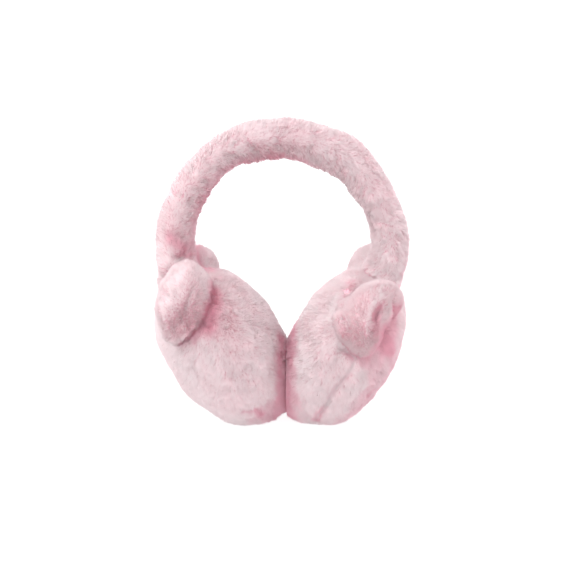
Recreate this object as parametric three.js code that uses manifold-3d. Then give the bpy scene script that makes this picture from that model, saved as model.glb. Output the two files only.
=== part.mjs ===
// Plush earmuffs that stand on their two stuffed pads, with the headband's arch above them.
// A padded sleeve bends over the head, and each end of it is sewn onto the top of a pad.
// A pad is two plush panels sewn together round a rim, with two cupped ears sewn into the seam.
// Millimetres. +X is right, +Y is back and +Z is up. Everything is built round the plane X 0 where
// the pads meet, and is moved at the end so that the origin is the middle of the bounding box's base.
import * as THREE from "three";
import { mergeVertices } from "three/addons/utils/BufferGeometryUtils.js";
import Module from "manifold-3d";

const wasm = await Module();
wasm.setup();

// Seams
const SEAM_GAP = 0.4; // kept between any two pieces that are sewn or pressed together

// Headband sleeve: its centre line rises from the pads, and arches over above one level
const ARCH_HALF_WIDTH = 71; // middle of the head to the centre line
const ARCH_LEVEL = 120; // height above the floor at which the arch begins
const ARCH_RISE = 73.5; // from that level to the top of the centre line
const SLEEVE_THICKNESS = 27; // from the head outward
const SLEEVE_DEPTH = 34; // front to back
const SLEEVE_TUCK = 16; // how far its ends reach below the pads' rims before they are trimmed

// Pads: stuffed lenses that lean together under the arch
const PAD_LENGTH = 117; // across the rim, from the sleeve to the lowest point
const PAD_DEPTH = 110; // across the rim, front to back
const PAD_OUTER_DOME = 38; // rim to the middle of the outer face
const PAD_INNER_DOME = 34; // rim to the middle of the face on the wearer's ear
const PAD_FULLNESS = 0.95; // 1 gives ellipses, and less is fuller
const PAD_PRESSED_TOGETHER = 5; // how much each is flattened where the two meet
const PAD_PRESSED_ON_FLOOR = 4.5; // and where it stands
const PRESSED_EDGE = 1.8; // softness of the edge round a flattened place
const RIM_GROOVE_DEPTH = 2.6; // of the seam round the rim
const RIM_GROOVE_WIDTH = 4;

// Ears: small cupped cushions that stand out from the rims
const EAR_LENGTH = 54; // along the rim
const EAR_HEIGHT = 52; // across it, with the part inside the pad that is trimmed away
const EAR_REACH = 27; // from the pad's rim to the ear's tip
const EAR_BACK_DOME = 12; // seam to the middle of the side near the head
const EAR_FACE_DOME = 10; // seam to the middle of the cupped side
const EAR_FULLNESS = 0.9;
const EAR_CURL_RADIUS = 27; // the ear is rolled about its own height by this radius
const EAR_HOLLOW_WIDTH = 13; // of the hollow in its cupped side
const EAR_GROOVE_DEPTH = 1.6; // of the seam round its edge
const EAR_GROOVE_WIDTH = 2.5;

// Facets and the look
const SLEEVE_STEPS = 56;
const SLEEVE_SIDES = 20;
const PAD_SIDES = 44;
const PAD_RINGS = 22;
const EAR_SIDES = 26;
const EAR_RINGS = 16;
const RIM_CROWDING = 1.45; // above 1 sets more rings near a seam than on the domes
const SAME_POINT = 0.0001; // corners closer than this are one
const CUTTER_SIZE = 800; // a block larger than the whole part
const PLUSH_ROUGHNESS = 0.95;
const COLOURS = { sleeve: 0xe9c6cc, outer: 0xe7c2c9, inner: 0xebc9ce, ear: 0xe5bfc6 };

// The arch's centre line, from left to right.
// across: share of the half width. height: share of the rise above the level.
const ARCH_POINTS = [
  { across: -1.06, height: 0.0 },
  { across: -1.03, height: 0.27 },
  { across: -0.88, height: 0.58 },
  { across: -0.65, height: 0.82 },
  { across: -0.35, height: 0.96 },
  { across: -0.03, height: 0.99 },
  { across: 0.26, height: 0.95 },
  { across: 0.57, height: 0.81 },
  { across: 0.79, height: 0.58 },
  { across: 0.95, height: 0.29 },
  { across: 1.0, height: 0.0 },
];

// along: share of the sleeve's length from the left pad. thick, deep: shares of its two sizes.
const SLEEVE_SECTIONS = [
  { along: 0.0, thick: 0.6, deep: 0.7 },
  { along: 0.06, thick: 1.05, deep: 0.98 },
  { along: 0.16, thick: 1.02, deep: 1.03 },
  { along: 0.27, thick: 0.96, deep: 1.0 },
  { along: 0.35, thick: 0.92, deep: 0.97 },
  { along: 0.45, thick: 1.05, deep: 1.0 },
  { along: 0.53, thick: 1.04, deep: 1.02 },
  { along: 0.62, thick: 1.15, deep: 1.04 },
  { along: 0.7, thick: 1.08, deep: 1.02 },
  { along: 0.79, thick: 0.98, deep: 0.98 },
  { along: 0.88, thick: 1.0, deep: 1.02 },
  { along: 0.95, thick: 1.06, deep: 0.98 },
  { along: 1.0, thick: 0.6, deep: 0.7 },
];

// Creases across the sleeve. depth: share of its thickness. width: share of its length.
const SLEEVE_CREASES = [{ along: 0.8, depth: 0.06, width: 0.012 }];

// side: -1 left, 1 right. lean: degrees from upright. long, outer, inner: shares of the pads' length
// and domes. high: how far the outer dome's middle is moved up the pad, as a share of its height.
// seat: how far the sleeve's end stands out from the rim, as a share of the outer dome.
const PADS = [
  { name: "left", side: -1, lean: 29, long: 1.03, outer: 1.05, inner: 1.16, high: 0.25, seat: 0.24 },
  { name: "right", side: 1, lean: 27.5, long: 1.0, outer: 1.0, inner: 1.02, high: 0.1, seat: 0.15 },
];

// Pinches where stuffing has sunk beside a seam. turn: degrees down the rim from the pad's top,
// towards the front. rise: degrees from the rim to the middle of the outer face.
const PAD_DENTS = [
  { pad: "right", turn: 150, rise: 0, depth: 3.5, width: 8 },
  { pad: "right", turn: 120, rise: 45, depth: 2, width: 9 },
  { pad: "left", turn: 20, rise: 50, depth: 3, width: 9 },
  { pad: "left", turn: 150, rise: -8, depth: 4, width: 14 },
];

// turn: degrees down the rim from the pad's top to the ear's middle. splay: degrees that its tip
// leans to the pad's outer side. twist: degrees about its height. upper, lower: shares of the
// curl radius for its two halves. long, thick: shares of its length and domes. hollow: its depth.
const EARS = [
  {
    ...{ pad: "left", face: "front", turn: 44, splay: -6, twist: 34, upper: 1.3, lower: 1.3 },
    ...{ long: 1.05, thick: 1.2, hollow: 4 },
  },
  {
    ...{ pad: "left", face: "back", turn: 32, splay: -32, twist: -28, upper: 1.3, lower: 1.3 },
    ...{ long: 1, thick: 1, hollow: 8 },
  },
  {
    ...{ pad: "right", face: "front", turn: 55, splay: 0, twist: 0, upper: 0.53, lower: 0.9 },
    ...{ long: 1.03, thick: 1.2, hollow: 6 },
  },
  {
    ...{ pad: "right", face: "back", turn: 34, splay: -32, twist: -18, upper: 1.3, lower: 1.3 },
    ...{ long: 1, thick: 1, hollow: 8 },
  },
];

const radians = THREE.MathUtils.degToRad;

// Two end points and the rings between them, closed into one surface that faces outward.
function closedFromRings(first, rings, last) {
  const sides = rings[0].length;
  const points = [first, ...rings.flat(), last];
  const at = (ring, i) => 1 + ring * sides + (i % sides);
  const faces = [];
  for (let i = 0; i < sides; i++) {
    faces.push([0, at(0, i + 1), at(0, i)]);
    faces.push([points.length - 1, at(rings.length - 1, i), at(rings.length - 1, i + 1)]);
    for (let r = 0; r < rings.length - 1; r++) {
      faces.push([at(r, i), at(r, i + 1), at(r + 1, i)]);
      faces.push([at(r, i + 1), at(r + 1, i + 1), at(r + 1, i)]);
    }
  }
  const cross = new THREE.Vector3();
  const volume = faces.reduce(
    (sum, [a, b, c]) => sum + points[a].dot(cross.crossVectors(points[b], points[c])),
    0,
  );
  if (volume < 0) faces.forEach((face) => face.reverse());
  const geometry = new THREE.BufferGeometry().setFromPoints(points);
  geometry.setIndex(faces.flat());
  return geometry;
}

// A geometry as a manifold-3d solid, and back.
function toSolid(geometry) {
  const bare = new THREE.BufferGeometry();
  bare.setAttribute("position", geometry.getAttribute("position"));
  bare.setIndex(geometry.index);
  const merged = mergeVertices(bare, SAME_POINT);
  return new wasm.Manifold(
    new wasm.Mesh({
      numProp: 3,
      vertProperties: new Float32Array(merged.getAttribute("position").array),
      triVerts: new Uint32Array(merged.index.array),
    }),
  );
}

function toGeometry(solid) {
  const mesh = solid.getMesh();
  const geometry = new THREE.BufferGeometry();
  const corners = new Float32Array(mesh.vertProperties);
  geometry.setAttribute("position", new THREE.BufferAttribute(corners, 3));
  geometry.setIndex(new THREE.BufferAttribute(new Uint32Array(mesh.triVerts), 1));
  geometry.computeVertexNormals();
  return geometry;
}

// The largest piece that a cut leaves.
function largest(solid) {
  return solid.decompose().reduce((a, b) => (b.volume() > a.volume() ? b : a));
}

// A block that fills the side of a plane that its normal points away from.
function blockBehind(point, normal) {
  const block = new THREE.BoxGeometry(CUTTER_SIZE, CUTTER_SIZE, CUTTER_SIZE);
  block.translate(0, 0, -CUTTER_SIZE / 2);
  const turn = new THREE.Quaternion().setFromUnitVectors(new THREE.Vector3(0, 0, 1), normal);
  return toSolid(block.applyQuaternion(turn).translate(point.x, point.y, point.z));
}

// A value held at or above a limit, with a soft start.
function press(value, limit, softness) {
  const over = value - limit;
  if (over >= softness) return value;
  if (over <= -softness) return limit;
  return limit + (over + softness) ** 2 / (4 * softness);
}

// A point of a stuffed lens about the origin, whose rim lies in the XY plane. Rise and turn are
// its latitude from the rim and its way round. Grow makes the lens larger on every side.
function lensPoint(lens, rise, turn, grow) {
  const across = Math.max(Math.cos(rise), 0) ** lens.fullness;
  const up = Math.sign(rise) * Math.abs(Math.sin(rise)) ** lens.fullness;
  const dome = rise > 0 ? lens.topDome : lens.bottomDome;
  const point = new THREE.Vector3(
    (lens.halfX + grow) * across * Math.cos(turn),
    (lens.halfY + grow) * across * Math.sin(turn),
    (dome + grow) * up,
  );
  const radius = Math.hypot(point.x, point.y);
  const pull = lens.grooveDepth * Math.exp(-((point.z / lens.grooveWidth) ** 2));
  const kept = radius > 0 ? Math.max(1 - pull / radius, 0) : 0;
  return point.set(point.x * kept, point.y * kept + lens.high * Math.max(point.z, 0), point.z);
}

// The lens as a closed surface. Shape moves each of its points.
function stuffedLens(lens, shape, grow) {
  const loops = [];
  for (let r = 1; r < lens.rings; r++) {
    const share = (2 * r) / lens.rings - 1;
    const rise = (Math.PI / 2) * Math.sign(share) * Math.abs(share) ** RIM_CROWDING;
    const loop = [];
    for (let i = 0; i < lens.sides; i++) {
      loop.push(shape(lensPoint(lens, rise, (2 * Math.PI * i) / lens.sides, grow)));
    }
    loops.push(loop);
  }
  const bottom = shape(lensPoint(lens, -Math.PI / 2, 0, grow));
  const top = shape(lensPoint(lens, Math.PI / 2, 0, grow));
  return closedFromRings(bottom, loops, top);
}

// A pad's three directions: to its front, up its rim, and out of its outer face.
function padAxes(pad) {
  const lean = radians(pad.lean);
  return {
    front: new THREE.Vector3(0, -1, 0),
    up: new THREE.Vector3(pad.side * Math.sin(lean), 0, Math.cos(lean)),
    out: new THREE.Vector3(pad.side * Math.cos(lean), 0, -Math.sin(lean)),
  };
}

function padLens(pad) {
  return {
    halfX: PAD_DEPTH / 2,
    halfY: (PAD_LENGTH / 2) * pad.long,
    topDome: PAD_OUTER_DOME * pad.outer,
    bottomDome: PAD_INNER_DOME * pad.inner,
    fullness: PAD_FULLNESS,
    grooveDepth: RIM_GROOVE_DEPTH,
    grooveWidth: RIM_GROOVE_WIDTH,
    high: pad.high,
    sides: PAD_SIDES,
    rings: PAD_RINGS,
  };
}

function alongAxes({ front, up, out }, point, centre) {
  return centre
    .clone()
    .addScaledVector(front, point.x)
    .addScaledVector(up, point.y)
    .addScaledVector(out, point.z);
}

// Where a pad's middle hangs, so that it is pressed on the floor and against the other pad.
function padCentre(pad) {
  const axes = padAxes(pad);
  const origin = new THREE.Vector3();
  const geometry = stuffedLens(padLens(pad), (point) => alongAxes(axes, point, origin), 0);
  geometry.computeBoundingBox();
  const { min, max } = geometry.boundingBox;
  const inward = pad.side > 0 ? -min.x : max.x;
  return new THREE.Vector3(
    pad.side * (inward - PAD_PRESSED_TOGETHER),
    0,
    -min.z - PAD_PRESSED_ON_FLOOR,
  );
}

const pads = PADS.map((pad) => ({ ...pad, ...padAxes(pad), centre: padCentre(pad) }));

function padSolid(pad, grow) {
  const lens = padLens(pad);
  const dents = PAD_DENTS.filter((dent) => dent.pad === pad.name).map((dent) => ({
    ...dent,
    at: lensPoint(lens, radians(dent.rise), Math.PI / 2 - radians(dent.turn), 0),
  }));
  const shape = (point) => {
    const pull = dents.reduce(
      (sum, dent) => sum + dent.depth * Math.exp(-((point.distanceTo(dent.at) / dent.width) ** 2)),
      0,
    );
    point.setLength(point.length() - pull);
    const placed = alongAxes(pad, point, pad.centre);
    placed.x = pad.side * press(pad.side * placed.x, SEAM_GAP / 2, PRESSED_EDGE);
    placed.z = press(placed.z, 0, PRESSED_EDGE);
    return placed;
  };
  return toSolid(stuffedLens(lens, shape, grow));
}

// The sleeve's centre line, from inside the left pad's top to inside the right one's.
function sleeveLine() {
  const seat = (pad) =>
    pad.centre
      .clone()
      .addScaledVector(pad.up, (PAD_LENGTH / 2) * pad.long - SLEEVE_TUCK)
      .addScaledVector(pad.out, PAD_OUTER_DOME * pad.outer * pad.seat);
  const arch = ARCH_POINTS.map(
    ({ across, height }) =>
      new THREE.Vector3(ARCH_HALF_WIDTH * across, 0, ARCH_LEVEL + ARCH_RISE * height),
  );
  const [left, right] = pads;
  return new THREE.CatmullRomCurve3([seat(left), ...arch, seat(right)], false, "centripetal");
}

// A column of a table, read between its rows.
function readTable(rows, along, column) {
  const next = rows.findIndex((row) => row.along >= along);
  if (next <= 0) return rows[Math.max(next, 0)][column];
  const [a, b] = [rows[next - 1], rows[next]];
  const share = (along - a.along) / (b.along - a.along);
  return THREE.MathUtils.lerp(a[column], b[column], THREE.MathUtils.smoothstep(share, 0, 1));
}

function sleeveSolid(grow) {
  const line = sleeveLine();
  const depthWay = new THREE.Vector3(0, 1, 0);
  const rings = [];
  for (let s = 0; s <= SLEEVE_STEPS; s++) {
    const along = s / SLEEVE_STEPS;
    const centre = line.getPointAt(along);
    const outWay = new THREE.Vector3().crossVectors(depthWay, line.getTangentAt(along));
    const crease = SLEEVE_CREASES.reduce(
      (sum, row) => sum + row.depth * Math.exp(-(((along - row.along) / row.width) ** 2)),
      0,
    );
    const thick = readTable(SLEEVE_SECTIONS, along, "thick") - crease;
    const deep = readTable(SLEEVE_SECTIONS, along, "deep") - crease;
    const ring = [];
    for (let i = 0; i < SLEEVE_SIDES; i++) {
      const turn = (2 * Math.PI * i) / SLEEVE_SIDES;
      ring.push(
        centre
          .clone()
          .addScaledVector(outWay, ((SLEEVE_THICKNESS / 2) * thick + grow) * Math.cos(turn))
          .addScaledVector(depthWay, ((SLEEVE_DEPTH / 2) * deep + grow) * Math.sin(turn)),
      );
    }
    rings.push(ring);
  }
  return toSolid(closedFromRings(line.getPointAt(0), rings, line.getPointAt(1)));
}

// An ear's place on its pad's rim: along the rim, away from it, and towards the outer face.
function earFrame(ear) {
  const pad = pads.find((row) => row.name === ear.pad);
  const turn = radians(ear.turn);
  const sideways = pad.front.clone().multiplyScalar(ear.face === "front" ? 1 : -1);
  const away = pad.up.clone().multiplyScalar(Math.cos(turn));
  away.addScaledVector(sideways, Math.sin(turn));
  const along = pad.up.clone().multiplyScalar(-Math.sin(turn));
  along.addScaledVector(sideways, Math.cos(turn));
  const centre = pad.centre
    .clone()
    .addScaledVector(pad.up, (PAD_LENGTH / 2) * pad.long * Math.cos(turn))
    .addScaledVector(sideways, (PAD_DEPTH / 2) * Math.sin(turn))
    .addScaledVector(away, EAR_REACH - EAR_HEIGHT / 2);
  const splay = radians(ear.splay);
  const up = away.clone().multiplyScalar(Math.cos(splay)).addScaledVector(pad.out, Math.sin(splay));
  const cup = pad.out.clone().multiplyScalar(Math.cos(splay)).addScaledVector(away, -Math.sin(splay));
  const twist = radians(ear.twist);
  return {
    centre,
    up,
    front: along.clone().multiplyScalar(Math.cos(twist)).addScaledVector(cup, Math.sin(twist)),
    out: cup.clone().multiplyScalar(Math.cos(twist)).addScaledVector(along, -Math.sin(twist)),
  };
}

function earSolid(ear, grow) {
  const frame = earFrame(ear);
  const lens = {
    halfX: (EAR_LENGTH / 2) * ear.long,
    halfY: EAR_HEIGHT / 2,
    topDome: EAR_FACE_DOME * ear.thick,
    bottomDome: EAR_BACK_DOME * ear.thick,
    fullness: EAR_FULLNESS,
    grooveDepth: EAR_GROOVE_DEPTH,
    grooveWidth: EAR_GROOVE_WIDTH,
    high: 0,
    sides: EAR_SIDES,
    rings: EAR_RINGS,
  };
  const shape = (point) => {
    if (point.z > 0) {
      const spread = Math.hypot(point.x, point.y) / EAR_HOLLOW_WIDTH;
      point.z -= ear.hollow * Math.exp(-(spread ** 2));
    }
    const radius = EAR_CURL_RADIUS * (point.x < 0 ? ear.upper : ear.lower);
    const roll = point.x / radius;
    const reach = radius - point.z;
    const rolled = new THREE.Vector3(
      reach * Math.sin(roll),
      point.y,
      radius - reach * Math.cos(roll),
    );
    return alongAxes(frame, rolled, frame.centre);
  };
  return toSolid(stuffedLens(lens, shape, grow));
}

const parts = new THREE.Group();

function addPart(name, solid, colour) {
  const look = { color: colour, roughness: PLUSH_ROUGHNESS, metalness: 0 };
  const material = new THREE.MeshStandardMaterial(look);
  const mesh = new THREE.Mesh(toGeometry(solid), material);
  mesh.name = name;
  parts.add(mesh);
}

// Each pad is parted into its two panels at the plane of its rim.
for (const pad of pads) {
  const whole = padSolid(pad, 0);
  const half = pad.out.clone().multiplyScalar(SEAM_GAP / 2);
  const outerSide = blockBehind(pad.centre.clone().add(half), pad.out.clone().negate());
  const innerSide = blockBehind(pad.centre.clone().sub(half), pad.out);
  addPart(`${pad.name}_pad_outer`, largest(whole.intersect(outerSide)), COLOURS.outer);
  addPart(`${pad.name}_pad_inner`, largest(whole.intersect(innerSide)), COLOURS.inner);
}

// What is sewn on is trimmed where it would enter a pad, or the sleeve.
const roomForPads = pads.map((pad) => padSolid(pad, SEAM_GAP)).reduce((a, b) => a.add(b));
const roomForSleeve = sleeveSolid(SEAM_GAP);
addPart("headband", largest(sleeveSolid(0).subtract(roomForPads)), COLOURS.sleeve);
for (const ear of EARS) {
  const trimmed = earSolid(ear, 0).subtract(roomForPads).subtract(roomForSleeve);
  addPart(`${ear.pad}_${ear.face}_ear`, largest(trimmed), COLOURS.ear);
}

// The origin is the middle of the bounding box's base.
const box = new THREE.Box3().setFromObject(parts);
const middle = box.getCenter(new THREE.Vector3());
parts.children.forEach((mesh) => mesh.geometry.translate(-middle.x, -middle.y, -box.min.z));

export default parts;
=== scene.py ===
# %% [markdown]
# # Plush earmuffs
# These are pale pink earmuffs of faux fur. A padded sleeve bends over the head, and each end is
# sewn onto a thick stuffed pad. Two small cupped ears are sewn into each pad's rim seam.
#
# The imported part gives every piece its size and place. Here each piece becomes what it really
# is: a stuffed skin of backing cloth, with a dense pile standing on it. Blender works in metres.

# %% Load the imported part
import math

import bmesh
import bpy
import numpy as np
from mathutils import Matrix, Vector
from mathutils.bvhtree import BVHTree
from mathutils.kdtree import KDTree


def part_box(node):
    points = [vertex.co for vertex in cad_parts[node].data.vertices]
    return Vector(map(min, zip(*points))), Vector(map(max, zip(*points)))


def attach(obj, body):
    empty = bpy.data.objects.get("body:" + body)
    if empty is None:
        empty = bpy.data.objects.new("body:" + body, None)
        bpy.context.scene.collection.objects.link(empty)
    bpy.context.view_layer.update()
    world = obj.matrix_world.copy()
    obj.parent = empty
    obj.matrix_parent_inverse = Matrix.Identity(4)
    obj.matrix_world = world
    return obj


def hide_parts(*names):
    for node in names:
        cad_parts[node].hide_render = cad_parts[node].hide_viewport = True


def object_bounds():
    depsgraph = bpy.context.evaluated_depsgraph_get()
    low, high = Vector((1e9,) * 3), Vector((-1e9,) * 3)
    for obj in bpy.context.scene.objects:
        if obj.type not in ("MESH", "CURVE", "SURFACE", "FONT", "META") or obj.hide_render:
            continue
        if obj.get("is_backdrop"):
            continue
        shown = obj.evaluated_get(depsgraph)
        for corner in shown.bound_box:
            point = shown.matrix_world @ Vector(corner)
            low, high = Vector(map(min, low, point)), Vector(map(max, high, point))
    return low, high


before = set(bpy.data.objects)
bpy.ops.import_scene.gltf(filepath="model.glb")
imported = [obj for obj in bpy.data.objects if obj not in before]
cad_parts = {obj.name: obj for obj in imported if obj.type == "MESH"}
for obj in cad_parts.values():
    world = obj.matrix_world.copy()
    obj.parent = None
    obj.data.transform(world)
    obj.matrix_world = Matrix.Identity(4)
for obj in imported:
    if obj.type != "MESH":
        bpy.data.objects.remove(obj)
cad_low, cad_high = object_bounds()
MM = 0.001
scene = bpy.context.scene
print("pieces:", ", ".join(sorted(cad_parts)))

# %% [markdown]
# ## The camera
# The photograph was taken from the front and a little above, with the camera tipped by less than
# a degree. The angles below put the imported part's outline on the photograph's. A lens is
# described by how many pixels it gives to one unit of width at one unit of distance, because
# that can be measured in the picture. It is turned into millimetres for Blender's 36 mm sensor.

# %% Camera
PHOTO_SIZE = 580  # pixels, both ways
PIXELS_PER_UNIT = 930
SENSOR_WIDTH = 36  # mm
CAMERA_AZIMUTH = math.radians(-1.72)
CAMERA_ELEVATION = math.radians(6.89)
CAMERA_ROLL = math.radians(-0.66)
CAMERA_DISTANCE = 630.5 * MM
LOOKS_AT = Vector((6.2, 0, 91.1)) * MM


def camera_axes():
    """The camera's right, up and forward directions."""
    flat = math.cos(CAMERA_ELEVATION)
    forward = Vector(
        (
            math.sin(CAMERA_AZIMUTH) * flat,
            math.cos(CAMERA_AZIMUTH) * flat,
            -math.sin(CAMERA_ELEVATION),
        )
    )
    level = Vector((math.cos(CAMERA_AZIMUTH), -math.sin(CAMERA_AZIMUTH), 0))
    upright = level.cross(forward)
    right = level * math.cos(CAMERA_ROLL) + upright * math.sin(CAMERA_ROLL)
    up = upright * math.cos(CAMERA_ROLL) - level * math.sin(CAMERA_ROLL)
    return right, up, forward


camera_right, camera_up, camera_forward = camera_axes()
camera_place = LOOKS_AT - camera_forward * CAMERA_DISTANCE
camera_data = bpy.data.cameras.new("photo_camera")
camera_data.sensor_width = SENSOR_WIDTH
camera_data.lens = SENSOR_WIDTH * PIXELS_PER_UNIT / PHOTO_SIZE
camera = bpy.data.objects.new("photo_camera", camera_data)
turned = Matrix((camera_right, camera_up, -camera_forward)).transposed()
camera.matrix_world = Matrix.Translation(camera_place) @ turned.to_4x4()
scene.collection.objects.link(camera)
scene.camera = camera
print(f"lens {camera_data.lens:.1f} mm, {CAMERA_DISTANCE:.3f} m from the part")

# %% [markdown]
# ## Helpers for meshes
# The work on the fur is done on arrays of points, because there are hundreds of thousands of
# locks. These helpers read a mesh into arrays and back.


# %% Meshes as arrays
def points_of(mesh):
    points = np.empty(len(mesh.vertices) * 3)
    mesh.vertices.foreach_get("co", points)
    return points.reshape(-1, 3)


def normals_of(mesh):
    normals = np.empty(len(mesh.vertices) * 3, np.float32)
    mesh.vertex_normals.foreach_get("vector", normals)
    return normals.reshape(-1, 3).astype(float)


def triangles_of(mesh):
    mesh.calc_loop_triangles()
    corners = np.empty(len(mesh.loop_triangles) * 3, np.int32)
    mesh.loop_triangles.foreach_get("vertices", corners)
    return corners.reshape(-1, 3)


def set_points(mesh, points):
    mesh.vertices.foreach_set("co", points.astype(np.float32).ravel())
    mesh.update()


def unit(vectors):
    return vectors / np.maximum(np.linalg.norm(vectors, axis=-1, keepdims=True), 1e-12)


def dots(a, b):
    return np.sum(a * b, axis=-1, keepdims=True)


def mesh_from(points, faces, title):
    """A mesh of triangles from arrays."""
    mesh = bpy.data.meshes.new(title)
    mesh.vertices.add(len(points))
    mesh.loops.add(faces.size)
    mesh.polygons.add(len(faces))
    mesh.vertices.foreach_set("co", points.astype(np.float32).ravel())
    mesh.loops.foreach_set("vertex_index", faces.astype(np.int32).ravel())
    mesh.polygons.foreach_set("loop_start", np.arange(0, faces.size, 3, dtype=np.int32))
    mesh.polygons.foreach_set("use_smooth", np.ones(len(faces), bool))
    mesh.update(calc_edges=True)
    return mesh


def stacked(meshes):
    """The points and triangles of several meshes as one."""
    points, faces, count = [], [], 0
    for mesh in meshes:
        points.append(points_of(mesh))
        faces.append(triangles_of(mesh) + count)
        count += len(points[-1])
    return np.vstack(points), np.vstack(faces)


def with_modifiers(thing):
    """A new mesh of the object as its modifiers make it."""
    graph = bpy.context.evaluated_depsgraph_get()
    return bpy.data.meshes.new_from_object(thing.evaluated_get(graph))


def apply_modifiers(thing):
    """Makes what the modifiers do part of the object's own mesh."""
    thing.data = with_modifiers(thing)
    thing.modifiers.clear()


def tree_of(*names):
    """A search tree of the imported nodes' surfaces."""
    points, faces = stacked([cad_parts[name].data for name in names])
    return BVHTree.FromPolygons(points.tolist(), faces.tolist())


whole_part = tree_of(*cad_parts)
print(f"one search tree of all {len(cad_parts)} packed nodes")

# %% [markdown]
# ## Places read from the photograph
# A pinch or a crease has to sit where the photograph shows it. A line of sight from the camera
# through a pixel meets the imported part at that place, so the crease stays on its surface from
# every side.


# %% From a pixel to the surface
def seen_at(x, y):
    """The place on the part that the photograph shows at a pixel."""
    half = PHOTO_SIZE / 2
    across, down = (x - half) / PIXELS_PER_UNIT, (y - half) / PIXELS_PER_UNIT
    sight = camera_forward + camera_right * across - camera_up * down
    place, _, _, _ = whole_part.ray_cast(camera_place, sight)
    return place


# %% [markdown]
# ## Soft noise
# Fur is never even. Sums of sine waves in many directions give a smooth random field that can be
# worked out for any point at once, together with its slope. The seed keeps it the same each run.

# %% Smooth random fields
WAVE_LENGTHS = (1.3, 2.6)  # in widths of a lump


def waves(seed, size_mm, count=24):
    """A field of lumps about size_mm wide."""
    chance = np.random.default_rng(seed)
    ways = unit(chance.normal(size=(count, 3)))
    lengths = size_mm * MM * chance.uniform(*WAVE_LENGTHS, count)
    return ways * (2 * math.pi / lengths)[:, None], chance.uniform(0, 2 * math.pi, count)


def evened(count):
    """What a sum of this many waves is multiplied by, to lie mostly from -1 to 1."""
    return math.sqrt(2 / count) / 2


def field(points, recipe):
    """The field's value."""
    ways, phases = recipe
    return np.sin(points @ ways.T + phases).sum(axis=1) * evened(len(phases))


def slope(points, recipe):
    """How the field changes from place to place, per metre."""
    ways, phases = recipe
    return np.cos(points @ ways.T + phases) @ ways * evened(len(phases))


# %% [markdown]
# ## Creases and plump places
# Stitches pull the plush in, and stuffing pushes it out between them. Each row is a line over the
# part, given by pixels of the photograph, with how deep the plush sinks there and how wide the
# valley is. The second table does the same for places that the stuffing fills. The third gives
# lines of painted shade: places in shade, whose pile is painted a deeper pink.

# %% Creases and plump places
CREASES = [
    # (pixels, depth in mm, width in mm)
    ([(314, 421), (319, 414), (325, 407)], 2.8, 2.2),  # pinch at the right pad's foot
    ([(325, 407), (332, 392), (343, 380), (351, 370), (354, 358)], 1.7, 2.0),  # the seam above it
    ([(341, 347), (348, 352), (354, 358)], 1.8, 2.4),  # a fold beside the right ear's foot
    ([(369, 395), (372, 392), (376, 389)], 2.6, 1.9),  # a small tuck on the outer side
    ([(395, 296), (390, 308), (384, 322), (383, 330)], 1.2, 2.4),  # along the right ear's roll
    ([(383, 328), (385, 337), (385, 345)], 2.0, 2.4),  # fold under the right ear
    ([(384, 308), (380, 313), (377, 318)], 4.6, 2.3),  # mouth of the right ear's cup
    ([(197, 287), (191, 298), (188, 312), (191, 328), (194, 338)], 1.1, 2.2),  # left ear's seam
    ([(182, 318), (186, 322)], 1.2, 3.0),  # dimple on the left ear
    ([(163, 291), (165, 300)], 1.4, 2.6),  # tuck at the left edge
    ([(246, 411), (255, 409), (263, 413)], 1.8, 3.0),  # fold at the left pad's foot
    ([(160, 259), (176, 260), (194, 258)], 1.0, 2.6),  # where the left ear meets the sleeve
    ([(371, 221), (385, 220), (401, 221)], 1.2, 1.8),  # a crease across the right sleeve
]
PLUMP = [
    # (pixels, height in mm, width in mm)
    ([(164, 264), (163, 276), (163, 288)], 3.0, 7.0),  # the left ear's root
    ([(160, 300), (163, 318), (171, 337)], 2.6, 5.0),  # its outer side
    ([(351, 283), (343, 298), (341, 318), (345, 334)], 3.6, 5.0),  # pad beside the right ear
]
# painted shade: the pile along these lines lies in shade and is painted a deeper pink
PAINTED_SHADE_ROWS = [
    # (pixels, share from 0 to 1, width in mm)
    ([(281, 336), (281, 375), (282, 411)], 0.55, 5.0),  # where the left pad turns to the other
    ([(212, 288), (214, 306), (210, 328)], 0.45, 6.0),  # beside the left ear
    ([(170, 240), (178, 246), (188, 250)], 0.45, 5.0),  # foot of the sleeve above that ear
    ([(378, 326), (384, 338), (392, 350)], 0.35, 7.0),  # below the right ear
]


def dense_line(pixels, spacing=1.5):
    """The line's places on the part, one every few pixels."""
    line = []
    for (ax, ay), (bx, by) in zip(pixels, pixels[1:]):
        steps = max(int(math.hypot(bx - ax, by - ay) / spacing), 1)
        for i in range(steps + 1):
            share = i / steps
            place = seen_at(ax + (bx - ax) * share, ay + (by - ay) * share)
            if place is not None:
                line.append(tuple(place))
    return line


def lines_of(rows):
    """Every place of a table's lines, with its size and width in metres."""
    return [
        (place, size * MM, width * MM)
        for pixels, size, width in rows
        for place in dense_line(pixels)
    ]


def along_lines(points, lines):
    """How strongly the lines act on each point."""
    strongest = np.zeros(len(points))
    for place, size, width in lines:
        off = np.linalg.norm(points - place, axis=1)
        strongest = np.maximum(strongest, size * np.exp(-((off / width) ** 2)))
    return strongest


crease_lines = lines_of(CREASES)
plump_lines = lines_of(PLUMP)
painted_shade_lines = lines_of(PAINTED_SHADE_ROWS)
for title, line in (("creases", crease_lines), ("plump", plump_lines), ("pink", painted_shade_lines)):
    print(f"{title}: {len(line)} places")

# %% [markdown]
# ## Stuffed bags
# Under the pile lies a knitted backing cloth, sewn into bags and stuffed. A pad is one bag of two
# round panels, and the sleeve and the ears are a bag each. A pad's bag is made whole, so that its
# panels meet without a step, and it is parted into its two pieces at the end.

# %% The bags
PADS = {side: [f"{side}_pad_outer", f"{side}_pad_inner"] for side in ("left", "right")}
EARS = ["left_front_ear", "left_back_ear", "right_front_ear", "right_back_ear"]
BAGS = {
    "headband": ["headband"],
    "left_pad": PADS["left"],
    "right_pad": PADS["right"],
    **{ear: [ear] for ear in EARS},
}


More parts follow.
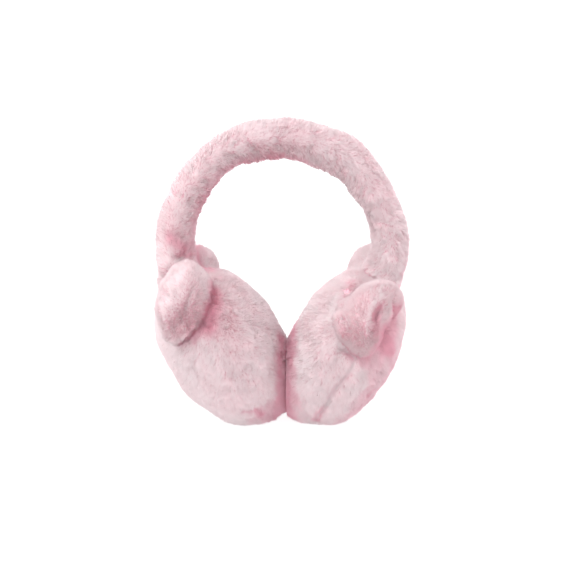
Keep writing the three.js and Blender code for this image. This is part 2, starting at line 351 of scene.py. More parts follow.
def is_pad(bag):
    return bag in ("left_pad", "right_pad")


def kind_of(bag):
    """The key that the tables below have for this bag."""
    return "pad" if is_pad(bag) else ("ear" if bag in EARS else "headband")


print(f"{len(BAGS)} bags for {len(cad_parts)} pieces")

# %% [markdown]
# A bag could be drawn by hand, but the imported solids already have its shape. So the solids of a
# bag are copied together and remeshed into even squares, which cloth simulation and subdivision
# both need.

# %% Even squares
SQUARE_MM = {"headband": 3.6, "pad": 2.9, "ear": 2}


def remeshed(bag):
    """One closed surface of even squares round the bag's solids."""
    solids = [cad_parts[name].data for name in BAGS[bag]]
    thing = bpy.data.objects.new(f"{bag}_bag", mesh_from(*stacked(solids), f"{bag}_bag"))
    scene.collection.objects.link(thing)
    even = thing.modifiers.new("even_squares", "REMESH")
    even.mode = "VOXEL"
    even.voxel_size = SQUARE_MM[kind_of(bag)] * MM
    apply_modifiers(thing)
    return thing


# %% [markdown]
# A front ear is cupped, but the stuffing fills most of its cup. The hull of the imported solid
# spans the cup, so a point in it can go outwards until it meets the hull. Away from the cup the
# hull lies on the ear itself, and nothing moves. A few passes of smoothing then take away the
# step at the cup's rim.

# %% Fill the cups
CUP_FILLED = {"left_front_ear": 0.95, "right_front_ear": 0.95}  # share of the way to the hull
CUP_REACH = 9 * MM
SMOOTHING_PASSES = 8


def cup_filled(points, normals, ear):
    """How far the stuffing pushes each point of an ear out of its cup."""
    work = bmesh.new()
    work.from_mesh(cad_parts[ear].data)
    bmesh.ops.convex_hull(work, input=work.verts)
    hull = BVHTree.FromBMesh(work)
    work.free()
    rise = [
        hull.ray_cast(Vector(point), Vector(normal), CUP_REACH)[3] or 0
        for point, normal in zip(points, normals)
    ]
    return np.array(rise) * CUP_FILLED.get(ear, 0)


def smoothed(thing, free):
    """Evens out the points that are free to move."""
    group = thing.vertex_groups.new(name="free")
    group.add(np.flatnonzero(free).tolist(), 1.0, "REPLACE")
    even = thing.modifiers.new("even_filling", "SMOOTH")
    even.iterations = SMOOTHING_PASSES
    even.vertex_group = group.name
    apply_modifiers(thing)


# %% [markdown]
# A pad's two panels are sewn together round the rim. The seam lies in one plane, which is found
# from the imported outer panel: its points that almost touch the inner one all lie in it.

# %% Seam planes
PANEL_GAP = 0.5 * MM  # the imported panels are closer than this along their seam


def nearest(tree, points):
    """For each point, the nearest place on a surface and its distance."""
    found = [tree.find_nearest(Vector(p)) for p in points]
    return np.array([f[0] for f in found]), np.array([f[3] for f in found])


def seam_plane(side):
    """A point of the seam's plane, and its direction towards the outer panel."""
    outer, inner = PADS[side]
    points = points_of(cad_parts[outer].data)
    _, gap = nearest(tree_of(inner), points)
    rim = points[gap < PANEL_GAP]
    middle = rim.mean(axis=0)
    normal = np.linalg.svd(rim - middle, full_matrices=False)[2][2]
    if (points.mean(axis=0) - middle) @ normal < 0:
        normal = -normal
    return middle, normal


SEAMS = {f"{side}_pad": seam_plane(side) for side in PADS}


def beyond_seam(points, bag):
    """How far each point is on the outer panel's side of the seam."""
    middle, normal = SEAMS[bag]
    return (points - middle) @ normal


for bag, (middle, normal) in SEAMS.items():
    print(f"{bag}: seam through {(middle / MM).round(1)} mm, facing {normal.round(2)}")

# %% [markdown]
# A bag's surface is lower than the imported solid's by the height of the pile, so it is drawn in by
# that height. An ear or the sleeve isn't drawn in where it is sewn on: it reaches down through
# the pad's own pile there. On the floor and between the two pads the pile is pressed, so the
# backing lies close under it.

# %% Draw in below the pile
PILE_HEIGHT_MM = {"headband": 2.5, "pad": 2.5, "ear": 1.7}  # of the lying pile
SEWN_WITHIN = 1.6 * MM  # backing closer than this to a neighbour belongs to their seam
SEWN_ABOVE = 0.6 * MM  # a sewn-on bag ends this far above the pad's backing
SEAM_FADE = 7 * MM  # from the seam to where the backing is fully drawn in
PRESSED_PILE = 0.6 * MM  # height of the pile on the floor and between the two pads
PRESSED_WITHIN = 1.0 * MM
MEETING_X = (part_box("left_pad_inner")[1].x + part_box("right_pad_inner")[0].x) / 2


def pile_height(bag):
    return PILE_HEIGHT_MM[kind_of(bag)] * MM


def drawn_in(thing, bag):
    """Draws the backing in below the pile, and returns which points are held."""
    points, normals = points_of(thing.data), normals_of(thing.data)
    move = -pile_height(bag) * normals
    if is_pad(bag):
        on_floor = points[:, 2] < PRESSED_WITHIN
        on_other = np.abs(points[:, 0] - MEETING_X) < PRESSED_WITHIN
        held = (np.abs(beyond_seam(points, bag)) < SEWN_WITHIN) | on_other | on_floor
        move[on_other, 0] = np.clip(move[on_other, 0], -PRESSED_PILE, PRESSED_PILE)
        move[on_floor, 2] = np.minimum(move[on_floor, 2], PRESSED_PILE)
    else:
        neighbours = [*PADS["left"], *PADS["right"], *(["headband"] if bag in EARS else [])]
        place, gap = nearest(tree_of(*neighbours), points)
        if bag in EARS:
            move += normals * cup_filled(points, normals, bag)[:, None]
        share = np.clip(gap / SEAM_FADE, 0, 1)[:, None]
        move *= share * share * (3 - 2 * share)
        held = gap < SEWN_WITHIN
        move[held] = (pile_height("left_pad") - SEWN_ABOVE) * unit(place - points)[held]
    set_points(thing.data, points + move)
    if bag in CUP_FILLED:
        smoothed(thing, gap > 2 * SEWN_WITHIN)
    return held


# %% [markdown]
# Then Blender's cloth simulation blows each bag up against its seams, which rounds it as
# stuffing does. The seams are held, and so are the places that are pressed flat. A cap on how far
# a point may move keeps the fitted shape.

# %% Stuff by cloth simulation
STUFFING_PRESSURE = 4
SIMULATED_FRAMES = 20
SWELL_CAP = 1.6 * MM


def stuffed(thing, held):
    """Blows the bag up, and returns how far it would swell without the cap."""
    before = points_of(thing.data)
    seam = thing.vertex_groups.new(name="seam")
    seam.add(np.flatnonzero(held).tolist(), 1.0, "REPLACE")
    cloth = thing.modifiers.new("stuffing", "CLOTH")
    cloth.settings.use_pressure = True
    cloth.settings.uniform_pressure_force = STUFFING_PRESSURE
    cloth.settings.vertex_group_mass = "seam"
    cloth.settings.effector_weights.gravity = 0
    cloth.point_cache.frame_end = SIMULATED_FRAMES
    for number in range(1, SIMULATED_FRAMES + 1):
        scene.frame_set(number)
    blown = with_modifiers(thing)
    thing.modifiers.clear()
    move = points_of(blown) - before
    size = np.linalg.norm(move, axis=1, keepdims=True)
    move *= SWELL_CAP * np.tanh(size / SWELL_CAP) / np.maximum(size, 1e-9)
    set_points(thing.data, before + move)
    scene.frame_set(1)
    return size.max()


# %% [markdown]
# A padded sleeve that bends over the head has too much cloth on its inner side, so it gathers
# there into short folds across its length. They could be sculpted one by one, but a sine wave
# along the sleeve gives them all, and soft noise makes them wander.

# %% Gathers of the sleeve
ARCH_CENTRE = Vector((2.9, 0, 120)) * MM
ARCH_RADIUS = 71 * MM
GATHER_SPACING = 8 * MM
GATHER_DEPTH = 0.9 * MM
GATHER_UP_TO = 0.25  # how far round the sleeve's side they reach, as a cosine
GATHER_WANDER = waves(seed=5, size_mm=12)
WANDER_BY = 0.9  # in spacings


def along_sleeve(points):
    """The bearing from the arch's middle, and how far each point is along the sleeve."""
    off = points - np.array(ARCH_CENTRE)
    bearing = np.arctan2(np.maximum(off[:, 2], 0), off[:, 0])
    below = np.minimum(off[:, 2], 0) * np.sign(off[:, 0])
    return bearing, bearing * ARCH_RADIUS + below


def gathers(points, normals):
    """How far the sleeve's gathers pull each point in."""
    bearing, along = along_sleeve(points)
    outward = np.stack([np.cos(bearing), np.zeros(len(points)), np.sin(bearing)], axis=1)
    inner = np.clip(GATHER_UP_TO - dots(normals, outward)[:, 0], 0, 1)
    fold = along / GATHER_SPACING + WANDER_BY * field(points, GATHER_WANDER)
    return GATHER_DEPTH * inner * (0.5 + 0.5 * np.sin(2 * math.pi * fold))


# %% [markdown]
# Plush doesn't go through what it touches. On the floor and between the two pads it is pressed
# flat, so a point that would go past either is moved back. This holds for the backing, and later
# for the tips of the pile.


# %% Keep off the floor and the other pad
def pressed_flat(points, bag, gap):
    """Moves back what would come nearer than the gap to the floor or the other pad."""
    points[:, 2] = np.maximum(points[:, 2], gap)
    if bag == "left_pad":
        points[:, 0] = np.minimum(points[:, 0], MEETING_X - gap)
    if bag == "right_pad":
        points[:, 0] = np.maximum(points[:, 0], MEETING_X + gap)
    return points


# %% [markdown]
# The small lumps of the stuffing, the gathers and the creases come after the simulation, because
# it would smooth them away. The mesh is made finer first, so that it can hold them.

# %% Lumps and creases
STUFFING_LUMPS = waves(seed=3, size_mm=16)
STUFFING_DEPTH = 0.8 * MM
SMALL_LUMPS = waves(seed=4, size_mm=6)
SMALL_DEPTH = 0.45 * MM
SEAM_FILLED = {"left_pad": 2.3 * MM, "right_pad": 1.5 * MM}  # pile brushed over the rim seam
SEAM_FILL_WIDTH = 4 * MM
MEETING_FILLED = 2.2 * MM  # the pads swell round the place where they press on each other
MEETING_WIDTH = 5 * MM


def lift_at(points, normals, bag):
    """How far lumps, creases and plump places move each point along its normal."""
    above = points + normals * pile_height(bag)
    lift = STUFFING_DEPTH * field(above, STUFFING_LUMPS) + SMALL_DEPTH * field(above, SMALL_LUMPS)
    lift += along_lines(above, plump_lines) - along_lines(above, crease_lines)
    if bag == "headband":
        lift -= gathers(above, normals)
    if is_pad(bag):
        away = beyond_seam(points, bag) / SEAM_FILL_WIDTH
        lift += SEAM_FILLED[bag] * np.exp(-(away**2))
        off = np.abs(points[:, 0] - MEETING_X) / MEETING_WIDTH
        lift += MEETING_FILLED * np.exp(-(off**2))
    return lift


# %% [markdown]
# One function now takes a bag through all these steps. A pad's bag also gets a line of points
# round its rim, by a cut along the seam's plane, so that each face is in one panel.

# %% Finish a bag
PRESSED_BACKING = 0.3 * MM  # room for the pressed pile


def cut_at_seam(thing, bag):
    """Adds the line of points round the rim."""
    work = bmesh.new()
    work.from_mesh(thing.data)
    everything = [*work.verts, *work.edges, *work.faces]
    middle, normal = SEAMS[bag]
    bmesh.ops.bisect_plane(work, geom=everything, plane_co=middle, plane_no=normal)
    work.to_mesh(thing.data)
    work.free()


def finished_bag(bag):
    """The backing of one bag, ready for its pile."""
    thing = remeshed(bag)
    held = drawn_in(thing, bag)
    swell = stuffed(thing, held)
    finer = thing.modifiers.new("finer", "SUBSURF")
    finer.levels = 1
    apply_modifiers(thing)
    points, normals = points_of(thing.data), normals_of(thing.data)
    points += normals * lift_at(points, normals, bag)[:, None]
    set_points(thing.data, pressed_flat(points, bag, PRESSED_BACKING))
    if is_pad(bag):
        cut_at_seam(thing, bag)
    print(f"{bag}: {len(thing.data.polygons)} squares, swelled {swell / MM:.1f} mm before the cap")
    return thing


# %% [markdown]
# ## The way the pile lies
# Pile lies over to one side, its nap, and that way shows as light and dark streaks. On the
# sleeve, which is one long strip, the nap runs over the head from left to right. On the pads it
# runs down, and on the ears from the seam to the tip. Soft noise turns it a little from place to
# place.

# %% Nap
NAP_TO_FRONT = 0.25  # the sleeve's nap also leans a little to the front
NAP_DRIFT = waves(seed=11, size_mm=24)
NAP_SWIRL = waves(seed=12, size_mm=8)
DRIFT_ANGLE = math.radians(16)
SWIRL_ANGLE = math.radians(14)


def sleeve_nap(points):
    bearing, _ = along_sleeve(points)
    to_front = np.full(len(points), -NAP_TO_FRONT)
    return np.stack([np.sin(bearing), to_front, -np.cos(bearing)], axis=1)


def pad_nap(points):
    return np.tile((0, 0, -1.0), (len(points), 1))


def ear_nap(ear):
    middle, _ = SEAMS[f"{ear.split('_')[0]}_pad"]
    return lambda points: points - middle


def nap_of(bag):
    if bag == "headband":
        return sleeve_nap
    return ear_nap(bag) if bag in EARS else pad_nap


def lying(points, normals, nap):
    """The nap at each point, flat on the surface and turned by the noise."""
    flat = nap(points)
    flat = unit(flat - dots(flat, normals) * normals)
    across = np.cross(normals, flat)
    turn = DRIFT_ANGLE * field(points, NAP_DRIFT) + SWIRL_ANGLE * field(points, NAP_SWIRL)
    return flat * np.cos(turn)[:, None] + across * np.sin(turn)[:, None]


# %% [markdown]
# ## The pile
# Real faux fur has over a hundred fibres in a square millimetre, too many for a mesh. A fibre is
# also thinner than a pixel, so what shows is small locks of fibres. Each lock is one flat blade
# that comes to a point and leans over along the nap, so a triangle is enough for it. Blender's
# own hair could do this too, but a mesh can be handed on with the part.
#
# First comes where no pile grows: under another bag that is sewn on or lies there.

# %% Where pile is hidden
HIDDEN_WITHIN = 0.5 * MM  # no pile where the solid touches a neighbour
HIDDEN_DEEPER = 3.5 * MM  # or lies this deep in one
FACES_NEIGHBOUR = 0.6  # as a cosine


def covered(above, facing, bag):
    """Which places are hidden where another bag is sewn on or lies against them."""
    others = [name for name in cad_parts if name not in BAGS[bag]]
    if is_pad(bag):
        others = [name for name in others if "pad" not in name]
    place, gap = nearest(tree_of(*others), above)
    faces_it = dots(unit(place - above), facing)[:, 0] > FACES_NEIGHBOUR
    hidden = faces_it & (gap < HIDDEN_WITHIN)
    for name in others:
        low, high = (np.array(corner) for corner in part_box(name))
        tree = tree_of(name)
        for i in np.flatnonzero(np.all((above > low) & (above < high), axis=1)):
            place, normal, _, _ = tree.find_nearest(Vector(above[i]))
            hidden[i] |= (Vector(above[i]) - place).dot(normal) < -HIDDEN_DEEPER
    return hidden


# %% [markdown]
# Each blade takes the surface's own light, by custom normals, so the pile shades like a soft
# surface and not like a heap of splinters. Where two bags meet their pile mingles, so the light
# of one passes into that of the other.

# %% Light of the backing
JOINED_WITHIN = 6 * MM  # where pile of two bags mingles
JOINED_SHARE = 0.5  # of the neighbour's direction, where the two touch
JOINED_FADE = 1.5  # as a power of the nearness
FACING_AWAY = -0.3  # as a cosine: a neighbour that faces this one isn't joined to it


def joined_light(thing, bag):
    """The backing's normals, turned towards a neighbour's where the two meet."""
    points, normals = points_of(thing.data), normals_of(thing.data)
    others = tree_of(*(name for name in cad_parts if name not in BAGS[bag]))
    for i, (point, normal) in enumerate(zip(points, normals)):
        _, other, _, gap = others.find_nearest(Vector(point + normal * pile_height(bag)))
        share = JOINED_SHARE * max(1 - gap / JOINED_WITHIN, 0) ** JOINED_FADE
        if other.dot(Vector(normal)) > FACING_AWAY:
            normals[i] = normal * (1 - share) + np.array(other) * share
    return unit(normals)


# %% [markdown]
# Light between two fur walls is coloured at each bounce, so nooks and creases look pinker, and
# this is painted shade. Rays from each point towards the lamp's side of the sky find the nooks.
# Places turned from the lamp, creases and the lines of painted shade add to it, and the material
# reads the result from the mesh.

# %% Shade in the nooks
KEY_LAMP = (-0.9, -0.8, 1.3)  # m, where the large lamp stands
TO_LAMP = unit(np.array(KEY_LAMP))
SHADE_START = 3.5 * MM  # above the pile, where a look at the sky starts
SHADE_REACH = 32 * MM
SHADE_WAYS = unit(np.random.default_rng(31).normal(size=(20, 3)))
TURNED_FROM = 0.1  # as a cosine, where a place starts to be turned away from the lamp
TURNED_SHADE = 0.08
CREASE_IN_SHADE = 3.2 * MM  # a crease this deep is all in shade


def shade_on(thing, bag):
    """Painted shade, 0 to 1: sky missed towards the lamp, turn from it, creases and shade lines."""
    points, normals = points_of(thing.data), normals_of(thing.data)
    above = points + normals * pile_height(bag)
    missed = np.zeros(len(points))
    for way in SHADE_WAYS:
        aims = unit(normals + way + TO_LAMP)
        for i, (start, aim) in enumerate(zip(above + normals * SHADE_START, aims)):
            hit = whole_part.ray_cast(Vector(start), Vector(aim), SHADE_REACH)[0]
            missed[i] += hit is not None
    shade = missed / len(SHADE_WAYS)
    shade += TURNED_SHADE * np.clip(TURNED_FROM - dots(normals, TO_LAMP)[:, 0], 0, 1)
    shade += (along_lines(above, crease_lines) / CREASE_IN_SHADE) ** 2
    # the lines of painted shade, each with its own share
    shade += along_lines(above, painted_shade_lines) / MM
    return np.clip(shade, 0, 1)


# %% [markdown]
# Roots could be put down at random, but that leaves clumps and bare spots. So the area is cut
# into equal shares, one for each lock, and each root gets a random place in its own share.


# %% Scatter the roots
def roots_on(thing, bag, shade, per_mm2, chance):
    """Evenly scattered roots on what shows: places, normals, lit normals, shade, and mm2."""
    points, normals = points_of(thing.data), normals_of(thing.data)
    corners = triangles_of(thing.data)
    facing = unit(normals[corners].sum(axis=1))
    above = points[corners].mean(axis=1) + facing * pile_height(bag)
    a, b, c = (points[corners[:, i]] for i in range(3))
    area = np.linalg.norm(np.cross(b - a, c - a), axis=1) / 2
    area[covered(above, facing, bag)] = 0
    upto = np.cumsum(area)
    count = int(upto[-1] / MM**2 * per_mm2)
    picks = (np.arange(count) + chance.random(count)) / count * upto[-1]
    chosen = np.minimum(np.searchsorted(upto, picks), len(area) - 1)
    share = np.sort(chance.random((count, 2)), axis=1)
    share = np.stack([share[:, 0], share[:, 1] - share[:, 0], 1 - share[:, 1]], axis=1)[..., None]
    places = (points[corners[chosen]] * share).sum(axis=1)
    turned = unit((normals[corners[chosen]] * share).sum(axis=1))
    lit = unit((joined_light(thing, bag)[corners[chosen]] * share).sum(axis=1))
    shaded = (shade[corners[chosen]] * share[..., 0]).sum(axis=1)
    return places, turned, lit, shaded, upto[-1] / MM**2


# %% [markdown]
# Crimped fibres stray from the nap, which makes the pile fluffy, and neighbours lean together to
# a shared tip, which gives it soft tufts.

# %% Strays and tufts
LEAN = math.radians(40)  # from upright
LEAN_WAVES = waves(seed=21, size_mm=7)
LEAN_SPREAD = math.radians(7)
STRAY_TURN = math.radians(30)
STRAY_LEAN = math.radians(14)
GATHERED = 0.28  # how far a tip is drawn to its tuft's tip
LOCKS_PER_TUFT = 28
TUFT_MM = 3.2
TUFT_WAVES = waves(seed=23, size_mm=TUFT_MM)
TUFT_TILT = 0.36  # how much the tufts turn the light


def leaning(roots, normals, bag, chance):
    """The way each lock points, along the nap and astray from it."""
    lie = lying(roots, normals, nap_of(bag))
    stray = chance.normal(0, STRAY_TURN, len(roots))[:, None]
    lie = lie * np.cos(stray) + np.cross(normals, lie) * np.sin(stray)
    lean = LEAN + LEAN_SPREAD * field(roots, LEAN_WAVES)
    lean += chance.normal(0, STRAY_LEAN, len(roots))
    return normals * np.cos(lean)[:, None] + lie * np.sin(lean)[:, None]


def gathered(tips, roots, chance):
    """Draws each tip towards the tip of the tuft that it belongs to."""
    leaders = chance.choice(len(roots), max(len(roots) // LOCKS_PER_TUFT, 1), replace=False)
    tree = KDTree(len(leaders))
    for i, leader in enumerate(leaders):
        tree.insert(roots[leader], i)
    tree.balance()
    own = np.array([tree.find(root)[1] for root in roots])
    return tips + (tips[leaders[own]] - tips) * GATHERED


def tufted(roots, lit):
    """The light's direction at each root, tilted over the rise and fall of the tufts."""
    tilt = slope(roots, TUFT_WAVES) * TUFT_MM * MM / (2 * math.pi) * TUFT_TILT
    return unit(lit - (tilt - dots(tilt, lit) * lit))


# %% [markdown]
# A lock is two points at its root and one at its tip. It is twisted about its own length by a
# random angle, so that the locks don't all lie like shingles.

# %% Locks of pile
LOCK_LENGTH_MM = {"headband": 4.1, "pad": 4.1, "ear": 3.2}
LOCK_WIDTH_MM = {"headband": 0.44, "pad": 0.42, "ear": 0.36}
LOCKS_PER_MM2 = {"headband": 6.7, "pad": 8.1, "ear": 9.8}
LENGTH_WAVES = waves(seed=22, size_mm=4)
LENGTH_SPREAD = 0.1
LENGTH_RANGE = (0.86, 1.1)  # of one lock beside the next
TWIST = math.radians(50)
SUNK = 0.4 * MM  # root below the backing
PRESSED_GAP = 0.05 * MM  # from a pressed tip to what it is pressed on
OWN_LIGHT = 0.25  # share of a blade's own direction in the light at its root
TIP_LIGHT = 0.25  # share of its length's direction at its tip
TONE_WAVES = waves(seed=24, size_mm=2.6)
TONE_SPREAD = 0.3


def pile_on(thing, bag, shade):
    """The blades' points and normals, three to a blade, and their tones and shades."""
    kind = kind_of(bag)
    chance = np.random.default_rng(sum(map(ord, bag)))
    per_mm2 = LOCKS_PER_MM2[kind] * 1
    roots, normals, lit, shaded, area = roots_on(thing, bag, shade, per_mm2, chance)
    shown = tufted(roots, lit)
    way = leaning(roots, normals, bag, chance)
    long = LOCK_LENGTH_MM[kind] * MM * (1 + LENGTH_SPREAD * field(roots, LENGTH_WAVES))
    long *= chance.uniform(*LENGTH_RANGE, len(roots))
    tips = gathered(roots + way * long[:, None], roots, chance)
    tips = pressed_flat(tips, bag, PRESSED_GAP)
    wide = LOCK_WIDTH_MM[kind] / 2 * MM * 1
    side = unit(np.cross(way, normals))
    face = np.cross(side, way)
    twist = chance.uniform(-TWIST, TWIST, len(roots))[:, None]
    across = side * np.cos(twist) + face * np.sin(twist)
    own = np.cross(across, way)
    low = roots - normals * SUNK
    blades = np.stack([low - across * wide, low + across * wide, tips], axis=1)
    bent = np.stack([shown + OWN_LIGHT * own] * 2 + [shown + TIP_LIGHT * way], axis=1)
    tone = 0.5 + TONE_SPREAD * field(roots, TONE_WAVES)
    tone += chance.uniform(-TONE_SPREAD, TONE_SPREAD, len(roots))
    print(f"{bag}: {len(roots)} locks on {area / 100:.0f} cm2")
    return blades, unit(bent), np.clip(tone, 0, 1), shaded


# %% [markdown]
# ## Materials
# Colours are written in hex, as a colour picker gives them, and Blender's nodes want them linear.
# One function turns them, and one adds a node with its settings and links.


# %% Colours and nodes
def linear(hex_colour):
    """An sRGB hex colour as linear red, green, blue and alpha."""
    parts = [int(hex_colour[i : i + 2], 16) / 255 for i in (1, 3, 5)]
    return (*(c / 12.92 if c <= 0.04045 else ((c + 0.055) / 1.055) ** 2.4 for c in parts), 1)


def add_node(material, kind, inputs=None, links=None, **settings):
    """Adds a node with its settings, its inputs' values and the links into it."""
    node = material.node_tree.nodes.new(kind)
    for name, value in settings.items():
        setattr(node, name, value)
    for name, value in (inputs or {}).items():
        node.inputs[name].default_value = value
    for name, socket in (links or {}).items():
        material.node_tree.links.new(socket, node.inputs[name])
    return node


def new_material(name):
    material = bpy.data.materials.new(name)
    material.use_nodes = True
    material.node_tree.nodes.clear()
    return material


# %% [markdown]
# The pile is polyester faux fur: crimped fibres, fixed in a knitted back, brushed and sheared
# short. Deep in it and in nooks light has passed many fibres and comes out pinker. This is painted
# into the colour as shade: deeper pink towards a lock's root and with the shade that was found
# above. The paler tips are painted sheen. No two locks are quite the same, and noise lays paler
# and deeper patches over them.

# %% Colour of the pile
# painted light: the paler tip stands in for sheen, and the deeper pink root is painted shade
PILE_TIP_PAINTED_SHEEN = linear("#fbecef")
PILE_MIDDLE = linear("#fae5e9")
PILE_ROOT_PAINTED_SHADE = linear("#f7d5dc")
PILE_IN_SHADE = linear("#f4b3c5")  # light between two fur walls is coloured at each bounce
MIDDLE_AT = 0.45  # of a lock's height
PATCH_MM = 22  # patches where the pile lies paler or deeper


def pile_colour(material, place):
    """The socket that the pile's colour comes from."""
    height = add_node(material, "ShaderNodeAttribute", attribute_name="pile_height")
    tone = add_node(material, "ShaderNodeAttribute", attribute_name="pile_tone")
    shade = add_node(material, "ShaderNodeAttribute", attribute_name="pile_shade")
    patches = add_node(
        material,
        "ShaderNodeTexNoise",
        inputs={"Scale": 1 / (PATCH_MM * MM), "Detail": 2.0},
        links={"Vector": place.outputs["Object"]},
    )
    ramp = add_node(material, "ShaderNodeValToRGB", links={"Fac": height.outputs["Fac"]})
    ramp.color_ramp.elements[0].color = PILE_ROOT_PAINTED_SHADE
    ramp.color_ramp.elements[1].color = PILE_TIP_PAINTED_SHEEN
    ramp.color_ramp.elements.new(MIDDLE_AT).color = PILE_MIDDLE
    shaded = add_node(
        material,
        "ShaderNodeMapRange",
        inputs={"From Min": 0.06, "From Max": 0.55, "To Max": 0.9},
        links={"Value": shade.outputs["Fac"]},
    )
    deeper = add_node(
        material,
        "ShaderNodeMixRGB",
        inputs={"Color2": PILE_IN_SHADE},
        links={"Fac": shaded.outputs["Result"], "Color1": ramp.outputs["Color"]},
    )
    value = add_node(
        material,
        "ShaderNodeMapRange",
        inputs={"To Min": 0.92, "To Max": 1.04},
        links={"Value": tone.outputs["Fac"]},
    )
    saturation = add_node(
        material,
        "ShaderNodeMapRange",
        inputs={"From Min": 0.3, "From Max": 0.7, "To Min": 0.85, "To Max": 1.15},
        links={"Value": patches.outputs["Fac"]},
    )
    colour = add_node(
        material,
        "ShaderNodeHueSaturation",
        links={
            "Color": deeper.outputs["Color"],
            "Value": value.outputs["Result"],
            "Saturation": saturation.outputs["Result"],
        },
    )
    return colour.outputs["Color"]


# %% [markdown]
# Fibres scatter light every way, so the pile is rough, with hardly any gloss and a trace of
# sheen. A thin lock also lets light through, so a translucent share is mixed in. Single fibres
# are too fine for the mesh, and a small bump draws them on the locks.

# %% Plush pile
FIBRE_MM = 0.35  # drawn coarser than the real 0.02 mm fibre, so that it shows
LET_THROUGH = 0.4  # share of the light that passes through a thin lock
SHEEN = linear("#f8dfe4")


def plush_pile():
    material = new_material("polyester_plush_pile")
    place = add_node(material, "ShaderNodeTexCoord")
    colour = pile_colour(material, place)
    fibres = add_node(
        material,
        "ShaderNodeTexNoise",
        inputs={"Scale": 1 / (FIBRE_MM * MM), "Detail": 2.0},
        links={"Vector": place.outputs["Object"]},
    )
    bump = add_node(
        material,
        "ShaderNodeBump",
        inputs={"Strength": 0.25, "Distance": 0.1 * MM},
        links={"Height": fibres.outputs["Fac"]},
    )
    surface = add_node(
        material,
        "ShaderNodeBsdfPrincipled",
        inputs={
            "Roughness": 0.7,
            "Specular IOR Level": 0.15,
            "Sheen Weight": 0.05,
            "Sheen Roughness": 0.45,
            "Sheen Tint": SHEEN,
        },
        links={"Base Color": colour, "Normal": bump.outputs["Normal"]},
    )
    through = add_node(material, "ShaderNodeBsdfTranslucent", links={"Color": colour})
    both = add_node(material, "ShaderNodeMixShader", inputs={"Fac": LET_THROUGH})
    material.node_tree.links.new(surface.outputs["BSDF"], both.inputs[1])
    material.node_tree.links.new(through.outputs["BSDF"], both.inputs[2])
    add_node(material, "ShaderNodeOutputMaterial", links={"Surface": both.outputs["Shader"]})
    return material


# %% [markdown]
# The backing is a polyester knit, and shows only where locks part. It is matt, with small loops
# that a Voronoi texture draws. A smooth cloth throws back more light than the depth of pile does,
# so its colours are darker than the pile's.

# %% Knitted backing
STITCH_MM = 1.2  # one knitted loop
LOOP_MIDDLE = linear("#deaab7")
LOOP_EDGE = linear("#cd98a6")


def knitted_backing():
    material = new_material("knitted_polyester_backing")
    place = add_node(material, "ShaderNodeTexCoord")
    loops = add_node(
        material,
        "ShaderNodeTexVoronoi",
        inputs={"Scale": 1 / (STITCH_MM * MM)},
        links={"Vector": place.outputs["Object"]},
    )
    colour = add_node(material, "ShaderNodeValToRGB", links={"Fac": loops.outputs["Distance"]})
    colour.color_ramp.elements[0].color = LOOP_MIDDLE
    colour.color_ramp.elements[1].color = LOOP_EDGE
    bump = add_node(
        material,
        "ShaderNodeBump",
        inputs={"Strength": 0.4, "Distance": 0.3 * MM},
        links={"Height": loops.outputs["Distance"]},
    )
    surface = add_node(
        material,
        "ShaderNodeBsdfPrincipled",
        inputs={"Roughness": 0.95, "Specular IOR Level": 0.15, "Sheen Weight": 0.2},
        links={"Base Color": colour.outputs["Color"], "Normal": bump.outputs["Normal"]},
    )
    add_node(material, "ShaderNodeOutputMaterial", links={"Surface": surface.outputs["BSDF"]})
    return material


pile_material = plush_pile()
backing_material = knitted_backing()
print("materials:", pile_material.name, "on", backing_material.name)

# %% [markdown]
# ## One object for each piece
# Backing and pile go into one mesh, so a piece moves as one thing. A pad's bag gives two pieces,
# its panels, which share the line of their seam. Each point carries its height along a lock, its
# tone and its shade, which the pile's material reads.


def plush_piece(name, backing, pile):
    """Makes one piece of its faces and locks, and returns how many triangles it has."""
    points, normals, shade, faces = backing
    blades, turned, tones, shades = pile
    used, faces = np.unique(faces, return_inverse=True)
    points, normals, shade, faces = points[used], normals[used], shade[used], faces.reshape(-1, 3)
    blade_faces = np.arange(len(blades) * 3).reshape(-1, 3) + len(points)
    every_point = np.vstack([points, blades.reshape(-1, 3)])
    mesh = mesh_from(every_point, np.vstack([faces, blade_faces]), f"{name}_plush")
    mesh.materials.append(backing_material)
    mesh.materials.append(pile_material)
    which = np.zeros(len(mesh.polygons), np.int32)
    which[len(faces) :] = 1
    mesh.polygons.foreach_set("material_index", which)
    height = np.zeros(len(every_point), np.float32)
    height[len(points) + 2 :: 3] = 1
    tone = np.concatenate([np.zeros(len(points)), np.repeat(tones, 3)])
    shaded = np.concatenate([shade, np.repeat(shades, 3)])
    for title, values in (("pile_height", height), ("pile_tone", tone), ("pile_shade", shaded)):
        values = values.astype(np.float32)
        mesh.attributes.new(title, "FLOAT", "POINT").data.foreach_set("value", values)
    light = np.vstack([normals, turned.reshape(-1, 3)]).astype(np.float32)
    mesh.normals_split_custom_set_from_vertices(light)
    piece = bpy.data.objects.new(f"{name}_plush", mesh)
    scene.collection.objects.link(piece)
    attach(piece, "root")
    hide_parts(name)
    print(f"{name}: {len(mesh.polygons)} triangles")
    return len(mesh.polygons)


def plush_bag(bag):
    """Makes a bag's pieces, and returns how many triangles they have."""
    thing = finished_bag(bag)
    points, normals = points_of(thing.data), normals_of(thing.data)
    faces = triangles_of(thing.data)
    shade = shade_on(thing, bag)
    pile = pile_on(thing, bag, shade)
    bpy.data.objects.remove(thing)
    if not is_pad(bag):
        return plush_piece(bag, (points, normals, shade, faces), pile)
    face_out = beyond_seam(points[faces].mean(axis=1), bag) > 0
    lock_out = beyond_seam(pile[0][:, :2].mean(axis=1), bag) > 0
    total = 0
    for name, f, t in zip(BAGS[bag], (face_out, ~face_out), (lock_out, ~lock_out)):
        total += plush_piece(name, (points, normals, shade, faces[f]), [part[t] for part in pile])
    return total


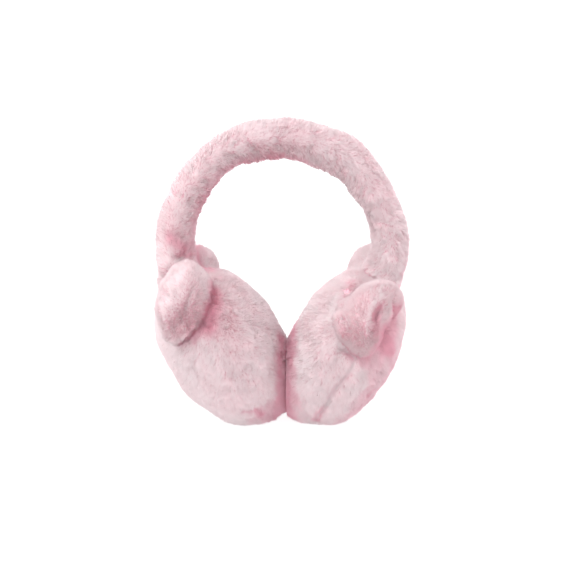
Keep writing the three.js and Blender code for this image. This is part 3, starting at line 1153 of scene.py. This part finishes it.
# %% [markdown]
# Every bag goes through the same steps. The rays for the shade and the light of so many locks
# take most of the script's time.

# %% Make every piece
total = sum(plush_bag(bag) for bag in BAGS)
print(f"{total} triangles in all")

# %% [markdown]
# ## Floor and light
# The photograph has a white ground with no shadow. A table of cast white acrylic that is lit from
# below gives that. It is matt, with a fine grain that keeps it from looking like a mirror.

# %% Floor
FLOOR_SIZE = 6  # m
TABLE_GLOW = 0.9  # light from below, less than half of what the sky gives
GRAIN_MM = 1.1


def lit_table():
    material = new_material("lit_white_acrylic")
    place = add_node(material, "ShaderNodeTexCoord")
    grain = add_node(
        material,
        "ShaderNodeTexNoise",
        inputs={"Scale": 1 / (GRAIN_MM * MM), "Detail": 3.0},
        links={"Vector": place.outputs["Object"]},
    )
    bump = add_node(
        material,
        "ShaderNodeBump",
        inputs={"Strength": 0.03, "Distance": 0.1 * MM},
        links={"Height": grain.outputs["Fac"]},
    )
    surface = add_node(
        material,
        "ShaderNodeBsdfPrincipled",
        inputs={
            "Base Color": linear("#959595"),
            "Roughness": 0.9,
            "Specular IOR Level": 0.2,
            "Emission Color": linear("#ffffff"),
            "Emission Strength": TABLE_GLOW,
        },
        links={"Normal": bump.outputs["Normal"]},
    )
    add_node(material, "ShaderNodeOutputMaterial", links={"Surface": surface.outputs["BSDF"]})
    return material


half = FLOOR_SIZE / 2
floor_mesh = bpy.data.meshes.new("floor")
floor_mesh.from_pydata(
    [(-half, -half, 0), (half, -half, 0), (half, half, 0), (-half, half, 0)], [], [(0, 1, 2, 3)]
)
floor_mesh.materials.append(lit_table())
floor = bpy.data.objects.new("floor", floor_mesh)
scene.collection.objects.link(floor)
floor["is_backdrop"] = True
print(f"floor of {FLOOR_SIZE} m")

# %% [markdown]
# The light is soft and comes from the upper left. An even sky gives most of it, one large lamp
# gives its direction, and a weak one fills the right side. Light goes from fibre to fibre many
# times in pale pile, so it is followed for more bounces than Blender's four.

# %% Lights
SKY_STRENGTH = 2.05
LAMPS_AIM_AT = Vector((0, 0, 0.1))  # the middle of the part
scene.view_settings.view_transform = "Standard"
scene.view_settings.gamma = 1.2  # the photograph's soft, low contrast
sky = bpy.data.worlds.new("studio")
sky.use_nodes = True
sky.node_tree.nodes["Background"].inputs["Color"].default_value = (1, 1, 1, 1)
sky.node_tree.nodes["Background"].inputs["Strength"].default_value = SKY_STRENGTH
scene.world = sky
scene.cycles.diffuse_bounces = 8


def soft_box(name, place, size, watts, colour="#ffffff"):
    """A square lamp that faces the middle of the part."""
    lamp = bpy.data.lights.new(name, "AREA")
    lamp.size = size
    lamp.energy = watts
    lamp.color = linear(colour)[:3]
    box = bpy.data.objects.new(name, lamp)
    aim = LAMPS_AIM_AT - Vector(place)
    turned = aim.to_track_quat("-Z", "Y").to_matrix().to_4x4()
    box.matrix_world = Matrix.Translation(place) @ turned
    scene.collection.objects.link(box)
    print(f"{name}: {watts} W, {size} m wide")


soft_box("key_upper_left", KEY_LAMP, 0.9, 16, "#f0fffa")
soft_box("fill_front_right", (0.9, -1.3, 0.5), 1.0, 1)

# %% Print how far the visual box reaches past the CAD box
low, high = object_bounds()
for title, past in (("low", low - cad_low), ("high", high - cad_high)):
    print(f"visual box at its {title} corner, past the CAD box:", [round(v / MM, 1) for v in past])
